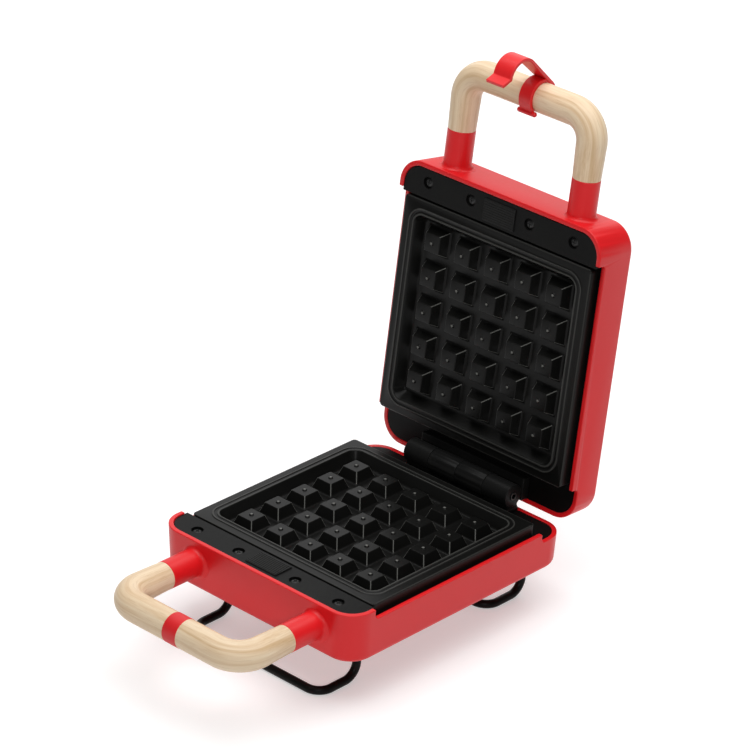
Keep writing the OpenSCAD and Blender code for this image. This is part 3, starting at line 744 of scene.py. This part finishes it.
def stud():
    def ring(half, z, r=0.7 * mm):
        return half, -half, half, r, z

    top = [ring(STUD_TOP - 0.45 * mm, STUD_TOP_Z), ring(STUD_TOP - 0.2 * mm, STUD_TOP_Z - 0.05 * mm),
           ring(STUD_TOP - 0.04 * mm, STUD_TOP_Z - 0.2 * mm), ring(STUD_TOP, STUD_TOP_Z - 0.42 * mm)]
    foot = [ring(STUD_FOOT - 0.15 * mm, FLOOR_Z + 1.0 * mm), ring(STUD_FOOT + 0.1 * mm, FLOOR_Z + 0.45 * mm),
            ring(STUD_FOOT + 0.55 * mm, FLOOR_Z + 0.12 * mm), ring(STUD_FOOT + 1.2 * mm, FLOOR_Z - 0.03 * mm)]
    block = lofted("stud", list(reversed(top + foot)), 4)
    dome = turned("dome", [(STUD_TOP_Z - 0.1 * mm, 1.6 * mm), (STUD_TOP_Z + 0.05 * mm, 1.4 * mm),
                           (STUD_TOP_Z + 0.42 * mm, 1.2 * mm), (STUD_TOP_Z + 0.7 * mm, 0.75 * mm),
                           (STUD_TOP_Z + 0.8 * mm, 0)], (0, 0, 0), "Z", 20)
    # Painted highlight on the upright corner edges and on the dome's crest.
    paint_highlight(smooth(block, 50), lambda face: 0.75 if min(abs(face.normal.x), abs(face.normal.y)) > 0.3 else 0.0)
    paint_highlight(smooth(dome, 60), lambda face: 0.9 if face.center.z > STUD_TOP_Z + 0.6 * mm else 0.0)
    return join([block, dome], "stud")


def stud_grid():
    grid = stud()
    grid.data.transform(Matrix.Translation((-2 * STUD_PITCH_X, -2 * STUD_PITCH_Y, 0)))
    for step in ((STUD_PITCH_X, 0, 0), (0, STUD_PITCH_Y, 0)):
        finish_with(grid, "ARRAY", count=5, use_relative_offset=False, use_constant_offset=True,
                    constant_offset_displace=step)
    return grid


plate = join([plate_body(), stud_grid()], "plate")
settle_both(plate, "plate_casting", "non_stick_coating", "plate", ("base_plate_body", "lid_plate_body"))

# %% [markdown]
# ## Grips
# The grips are turned round in section and bent in a U, so a tube along a rounded path gives them. The
# lower one wears a red band, flush with the wood, for the clip to hold.

# %% Grips and band
CROSS_BAR, BAR_BEND, BAR_R, WOOD_END_R = 144.6 * mm, 15 * mm, 8.7 * mm, 8.05 * mm
BAND_X, BAND_W = 2.7 * mm, 10.2 * mm


def grip_girth(place):
    """The arms taper towards their sleeves."""
    share = min(1, (-SLEEVE_END - place[1]) / (CROSS_BAR - BAR_BEND - SLEEVE_END))
    return (WOOD_END_R + (BAR_R - WOOD_END_R) * share) / BAR_R


def write_grain(bar, path):
    """Gives each point its way along the path, its height and its side step, for the wood to follow."""
    reach = [0]
    for a, b in zip(path, path[1:]):
        reach.append(reach[-1] + (b - a).length)
    grain = bar.data.attributes.new("grain", "FLOAT_VECTOR", "POINT")
    for vertex, value in zip(bar.data.vertices, grain.data):
        best = None
        for a, b, start in zip(path, path[1:], reach):
            step = b - a
            share = min(1, max(0, (vertex.co - a).dot(step) / step.length_squared))
            off = vertex.co - a - step * share
            if best is None or off.length < best[0]:
                aside = step.normalized().cross(Vector((0, 0, 1)))
                best = (off.length, start + share * step.length, off.z, off.dot(aside))
        value.vector = best[1:]


def grip():
    corners = [(arms[0], -SLEEVE_END, -BAR_DROP), (arms[0], -CROSS_BAR, -BAR_DROP),
               (arms[1], -CROSS_BAR, -BAR_DROP), (arms[1], -SLEEVE_END, -BAR_DROP)]
    path = rounded_path(corners, BAR_BEND, 20)
    bar = soften(tube("grip", path, BAR_R, 14, grip_girth), 0.3 * mm, 2, 50)
    write_grain(bar, path)
    return bar


def band():
    half, rise = BAND_W / 2, 0.12 * mm
    inner_r = BAR_R - 0.6 * mm
    profile = [(-half, inner_r), (-half, BAR_R), (-half + 0.25 * mm, BAR_R + rise),
               (half - 0.25 * mm, BAR_R + rise), (half, BAR_R), (half, inner_r), (-half, inner_r)]
    return smooth(turned("band", profile, (BAND_X, -CROSS_BAR, -BAR_DROP), "X"), 60)


settle_both(grip(), "grip_wood", "pale_wood", "grip")
settle(band(), "grip_band_rubber", BASE, "base", "red_band", "base_grip_band")

# %% [markdown]
# ## Latch clip
# The clip is moulded resin: an open ring that snaps round the upper bar, with a wider bead where it
# opens, and an arm that leaves the ring, widens, hooks round the lower bar and ends in a lip for the
# thumb. Ring and arm are bent lines, pushed sideways to their width and given their thickness; the arm
# starts inside the ring, so they read as one piece.

# %% Latch clip
CLIP_X, CLIP_T, CLIP_LEAN = 5.2 * mm, 2 * mm, radians(138.4)
RING_W, ARM_W, HOOK_W, BEAD_R = 8.8 * mm, 9.2 * mm, 12.6 * mm, 1.5 * mm


def arc(centre, radius, start, end, steps):
    return [(centre[0] + radius * cos(a), centre[1] + radius * sin(a))
            for a in [radians(start + (end - start) * i / steps) for i in range(steps + 1)]]


def strip(name, line, thickness, width_at):
    """A bent line as a strip; width_at gives the width at a place on the line."""
    points = [Vector((-0.5, a, b)) for a, b in line]
    piece = mesh_object(name, points, [(i, i + 1) for i in range(len(points) - 1)])
    editing(piece)
    bpy.ops.mesh.select_all(action="SELECT")
    bpy.ops.mesh.extrude_region_move(TRANSFORM_OT_translate={"value": (1, 0, 0)})
    done()
    for vertex in piece.data.vertices:
        vertex.co.x *= width_at(vertex.co)
    finish_with(piece, "SOLIDIFY", thickness=thickness, offset=0, use_even_offset=True)
    editing(piece)
    bpy.ops.mesh.select_all(action="SELECT")
    bpy.ops.mesh.normals_make_consistent(inside=False)
    done()
    return soften(piece, 0.4 * mm, 3, 50)


def clip_ring():
    inside, thickness, opening = BAR_R + 0.08 * mm, 2.2 * mm, 84.6
    ring = strip("clip_ring", arc((0, 0), inside + thickness / 2, opening, -198.4, 44), thickness,
                 lambda place: RING_W)
    bead_at = [(inside + BEAD_R + 0.7 * mm) * turn(radians(opening)) for turn in (cos, sin)]
    half = HOOK_W / 2 + 0.6 * mm
    round_end = [(BEAD_R * (1 - cos(a)), BEAD_R * sin(a)) for a in [pi / 2 * i / 6 for i in range(7)]]
    profile = round_end + [(2 * half - along, out) for along, out in reversed(round_end)]
    return join([ring, smooth(turned("clip_bead", profile, (-half, *bead_at), "X", 24), 60)], "clip_ring")


def clip_arm():
    start_r, hook_r, reach = BAR_R + 1.15 * mm, BAR_R + 1.85 * mm, 26.4 * mm
    lip, lip_turn = 7 * mm, radians(60)
    line = arc((0, 0), start_r, -118, -90, 6)
    line += [(reach * t, -start_r - (hook_r - start_r) * t) for t in (0.3, 0.6, 0.95)]
    line += arc((reach, 0), hook_r, -88, 32, 20)
    tip = line[-1]
    line += [(tip[0] + lip * t * cos(lip_turn), tip[1] + lip * t * sin(lip_turn)) for t in (0.14, 0.5, 1)]
    return strip("clip_arm", line, CLIP_T,
                 lambda place: ARM_W + (HOOK_W - ARM_W) * min(1, max(0, place.y) / reach))


upper_bar = LID @ Vector((0, -CROSS_BAR, -BAR_DROP))
clip_place = Matrix.Translation(upper_bar + Vector((CLIP_X, 0, 0))) @ Matrix.Rotation(CLIP_LEAN, 4, "X")
settle(join([clip_ring(), clip_arm()], "clip"), "clip_strip", clip_place, "clip", "red_clip", "latch_clip")

# %% [markdown]
# ## Legs
# Each leg is one length of wire, bent four times, with its ends pushed up into the casing. It has a
# narrow flat where it stands on the table.

# %% Wire legs
WIRE_R, LEG_X, LEG_ARM, LEG_BEND = 2.5 * mm, 49.2 * mm, 29.3 * mm, 9 * mm
WIRE_Z, LEG_TOP = -58.0 * mm, -22 * mm


def wire_leg(bar_y, name, node):
    back = bar_y + LEG_ARM
    corners = [(-LEG_X, back, LEG_TOP), (-LEG_X, back, WIRE_Z), (-LEG_X, bar_y, WIRE_Z),
               (LEG_X, bar_y, WIRE_Z), (LEG_X, back, WIRE_Z), (LEG_X, back, LEG_TOP)]
    wire = tube(name, rounded_path(corners, LEG_BEND, 12), WIRE_R, 8)
    floor = -(BASE.translation.z)
    for vertex in wire.data.vertices:
        vertex.co.z = max(vertex.co.z, floor)
    settle(smooth(wire, 50), name, BASE, "base", "black_wire", node)


wire_leg(-83.7 * mm, "front_leg_wire", "front_leg")
wire_leg(52.5 * mm, "rear_leg_wire", "rear_leg")

# %% [markdown]
# ## Hinge
# The barrel is four short knuckles on one hollow pin. Each knuckle is turned with softened ends, and a
# bevelled web ties it down to its deck. The axis lies a little below the parting face, so in the lid's
# drawing, which is turned over later, it is a little above.

# %% Hinge knuckles
KNUCKLE_R, BARREL, LID_KNUCKLES, PIN_R, WEB_HALF = 7 * mm, 39.3 * mm, 20.7 * mm, 2.5 * mm, 4.5 * mm


def knuckle(start, end, axis_z):
    ease = 0.4 * mm
    length = end - start
    bore_r = PIN_R + 0.05 * mm
    near = [(0, KNUCKLE_R - ease), (ease * 0.3, KNUCKLE_R - ease * 0.3), (ease, KNUCKLE_R)]
    far = [(length - along, r) for along, r in reversed(near)]
    profile = [(0, bore_r)] + near + far + [(length, bore_r), (0, bore_r)]
    barrel = smooth(turned("knuckle", profile, (start, HINGE_BACK, axis_z), "X", 48), 45)
    web = box_between("web", (start + ease, HINGE_BACK - WEB_HALF, -REAR_DROP),
                      (end - ease, HINGE_BACK + WEB_HALF, axis_z - 3 * mm))
    return join([barrel, soften(web, 0.5 * mm, 2)], "knuckle")


def hinge_foot(axis_z):
    foot = box_between("foot", (-BARREL, 73 * mm, -REAR_DROP - 0.2 * mm),
                       (BARREL, 86.8 * mm, axis_z - KNUCKLE_R - 0.6 * mm))
    return soften(foot, 0.6 * mm, 3)


def hinge_leaf(spans, axis_z):
    return join([hinge_foot(axis_z)] + [knuckle(start, end, axis_z) for start, end in spans], "hinge_leaf")


outer_start, groove = LID_KNUCKLES + 0.3 * mm, 0.12 * mm
base_leaf = hinge_leaf([(-BARREL, -outer_start), (outer_start, BARREL)], -HINGE_DROP)
settle(base_leaf, "base_hinge_casting", BASE, "base", "hinge_black", "hinge_base_bracket")
lid_leaf = hinge_leaf([(-LID_KNUCKLES, -groove), (groove, LID_KNUCKLES)], HINGE_DROP)
settle(lid_leaf, "lid_hinge_casting", LID, "lid", "hinge_black", "hinge_lid_bracket")

# %% [markdown]
# ## Moulded and machined pieces that keep their solid's shape
# The inner frames, the buttons, the hinge pin and the gland already have the right shape. What they lack
# is the small radius that every moulded or machined edge has, so a merged copy of each gets one and
# stands for its node.

# %% Softened copies


def loose_copy(node, name):
    copy = twin(nodes[node])
    copy.parent = None
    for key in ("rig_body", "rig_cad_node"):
        del copy[key]
    copy.name = name
    copy.data.name = name
    return copy


def stand_in(copy, node, body):
    dress(copy, slot_of_node[node])
    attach(copy, body)
    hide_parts(node)


def softened_copy(node, name, width, body):
    copy = loose_copy(node, name)
    editing(copy)
    bpy.ops.mesh.select_all(action="SELECT")
    bpy.ops.mesh.remove_doubles(threshold=2e-6)
    bpy.ops.mesh.dissolve_limited(angle_limit=radians(1))
    done()
    soften(copy, width, 2, 35)
    stand_in(copy, node, body)


for side, button_body in (("base", "base_button"), ("lid", "lid_button")):
    softened_copy(side + "_inner_frame", side + "_frame_moulding", 0.3 * mm, side)
    softened_copy(side + "_release_button", side + "_button_moulding", 0.1 * mm, button_body)
softened_copy("hinge_pin", "hinge_pin_tube", 0.15 * mm, "base")
softened_copy("cord_gland", "cord_gland_grommet", 0.3 * mm, "base")

# %% [markdown]
# The springs between the buttons and the front wall keep their solid's shape: a copy of each half's
# coils is dressed, set to ride on its half and given a mesh of its own.

# %% Button springs
for side, half in (("base", BASE), ("lid", LID)):
    coils = loose_copy(side + "_release_springs", side + "_spring_coils")
    stand_in(coils, side + "_release_springs", side)
    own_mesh(coils)

# %% [markdown]
# Each front panel screw sits at the bottom of a round recess: a domed head with a cross cut in it. One is
# turned, its cross is cut by two thin blocks, and three more are copied from it.

# %% Panel screws
PANEL_X, PANEL_Y, PANEL_Z = (-54.2 * mm, -21.75 * mm, 21.75 * mm, 54.2 * mm), -76.3 * mm, -2.5 * mm


def panel_screw():
    shank = ((-9.5, 0), (-9.5, 1.2), (-9.1, 1.5), (0, 1.5))
    head = ((0, 2.5), (0.3, 2.6), (0.55, 2.35), (0.75, 1.7), (0.85, 0.9), (0.87, 0))
    screw = turned("panel_screw", [(z * mm, r * mm) for z, r in shank + head], (0, 0, 0), "Z", 32)
    for size in ((1.5 * mm, 0.3 * mm), (0.3 * mm, 1.5 * mm)):
        cut(screw, box_between("cross", (-size[0], -size[1], 0.3 * mm), (size[0], size[1], 2 * mm)))
    return smooth(screw, 50)


def screw_row():
    first = panel_screw()
    row = [first] + [twin(first) for _ in PANEL_X[1:]]
    for screw, x in zip(row, PANEL_X):
        screw.data.transform(Matrix.Translation((x, PANEL_Y, PANEL_Z)))
    return join(row, "panel_screws")


settle_both(screw_row(), "panel_screw_heads", "dark_steel", "panel_screws")

# %% [markdown]
# The rest of the nodes are inside, or so small that their solids are already right, and only need their
# finish.

# %% Finishes on the solids
for node, piece in nodes.items():
    if not piece.hide_render:
        dress(piece, slot_of_node[node])
        pick(piece)
        bpy.ops.object.shade_smooth_by_angle(angle=radians(35))

# %% [markdown]
# ## Light and floor
# The set is a white table under one very large soft light. A pale screen stands far behind: polished
# black shows little of its own colour, so what the stud tops and the decks show is that screen, mirrored
# at a low angle. A small lamp by the camera draws the thin bright line along each edge that faces it.
# Nothing large and bright stands in front, so the lid's inside stays dark, as in the photograph. The
# table glows a little to the camera, to be white.

# %% Studio
LIT_POINT = Vector((0, 0, 0.1))


def soft_light(name, place, size, watts):
    data = bpy.data.lights.new(name, "AREA")
    data.shape = "RECTANGLE"
    data.size, data.size_y = size
    data.energy = watts
    lamp = bpy.data.objects.new(name, data)
    bpy.context.scene.collection.objects.link(lamp)
    lamp.location = place
    lamp.rotation_mode = "QUATERNION"
    lamp.rotation_quaternion = (LIT_POINT - Vector(place)).to_track_quat("-Z", "Y")


soft_light("overhead", (0.1, 0.1, 1.6), (1.8, 1.8), 30)
soft_light("rear_screen", (-1.2, 1.3, 0.95), (2.4, 1.3), 12)
soft_light("camera_side", (1.25, -1.38, 0.9), (0.25, 0.25), 6.8)

world = bpy.data.worlds.new("studio")
world.use_nodes = True
sky = world.node_tree.nodes["Background"].inputs
sky["Color"].default_value, sky["Strength"].default_value = (1, 1, 1, 1), 0.12
bpy.context.scene.world = world

bpy.ops.mesh.primitive_plane_add(size=8, location=(0, 0, 0))
floor = bpy.context.object
floor.name = "table"
table = Finish("table", Specular_IOR_Level=0.0, Emission_Strength=0.4, Roughness=0.9)
seen_by = ("Is Camera Ray", "Is Glossy Ray", "Is Transmission Ray")
ray = [table.node("ShaderNodeLightPath", out=name) for name in seen_by]
table.feed(Base_Color=table.ramp(table.noise(2, 1), (0.0, (0.72, 0.72, 0.72)), (1.0, (0.73, 0.73, 0.73))),
           Emission_Color=table.mix(ray[0] + ray[1] + ray[2], (0, 0, 0, 1), (1, 1, 1, 1)))
floor.data.materials.append(table.material)

bpy.context.scene.view_settings.view_transform = "Standard"
